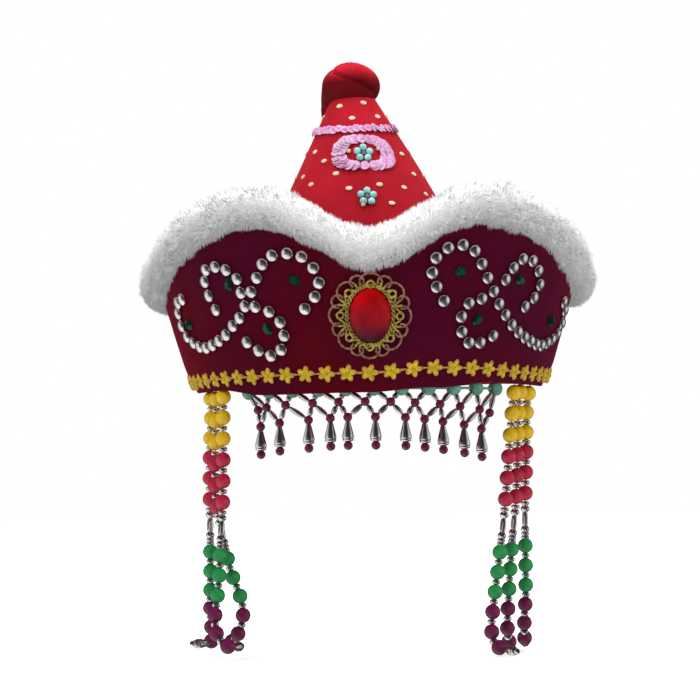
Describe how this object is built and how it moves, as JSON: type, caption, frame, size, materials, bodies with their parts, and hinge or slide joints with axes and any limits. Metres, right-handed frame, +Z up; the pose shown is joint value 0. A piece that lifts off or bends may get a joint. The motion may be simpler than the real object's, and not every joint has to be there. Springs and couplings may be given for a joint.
{
  "type": "mongolian hat",
  "caption": "Felt cone hat with a flaring velvet brim band, fur edge, silver bead scrolls, a front medallion, a bead fringe and hanging bead strands at both sides.",
  "frame": {"origin": "the middle of the head opening, in the plane of the crown's lower edge", "axes": "+Z up through the cone, -Y out of the front of the hat, +X towards the picture's right"},
  "size_m": [0.2258, 0.2611, 0.2942],
  "materials": {
    "felt": "red felted wool with a faint satin sheen",
    "velvet": "dark burgundy cotton velvet",
    "fur": "short white artificial fur",
    "gold_lace": "lace of gold metallic thread",
    "red_stone": "faceted red acrylic stone",
    "silver_bead": "silver plated bead",
    "green_stone": "dark green faceted stone",
    "pink_sequin": "iridescent pink sequins",
    "aqua_bead": "aqua seed beads",
    "turquoise_bead": "matt turquoise bead",
    "strung_bead": "semi-gloss dyed bead in yellow, crimson, green and purple"
  },
  "bodies": {
    "root": {"crown": "felt", "top_knot": "velvet", "brim_band": "velvet", "fur_trim": "fur", "flower_trim": "gold_lace", "medallion_frame": "gold_lace", "medallion_stone": "red_stone", "scroll_left_front": "silver_bead", "scroll_left_side": "silver_bead", "scroll_right_front": "silver_bead", "scroll_right_side": "silver_bead", "leaf_stone_1": "green_stone", "leaf_stone_2": "green_stone", "leaf_stone_3": "green_stone", "leaf_stone_4": "green_stone", "leaf_stone_5": "green_stone", "leaf_stone_6": "green_stone", "leaf_stone_7": "green_stone", "leaf_stone_8": "green_stone", "sequin_band": "pink_sequin", "sequin_oval": "pink_sequin", "bead_flower_upper": "aqua_bead", "bead_flower_lower": "aqua_bead", "rim_beads": "turquoise_bead", "front_fringe": "silver_bead", "strand_left_1": "strung_bead", "strand_left_2": "strung_bead", "strand_left_3": "strung_bead", "strand_right_1": "strung_bead", "strand_right_2": "strung_bead", "strand_right_3": "strung_bead"}
  },
  "joints": []
}
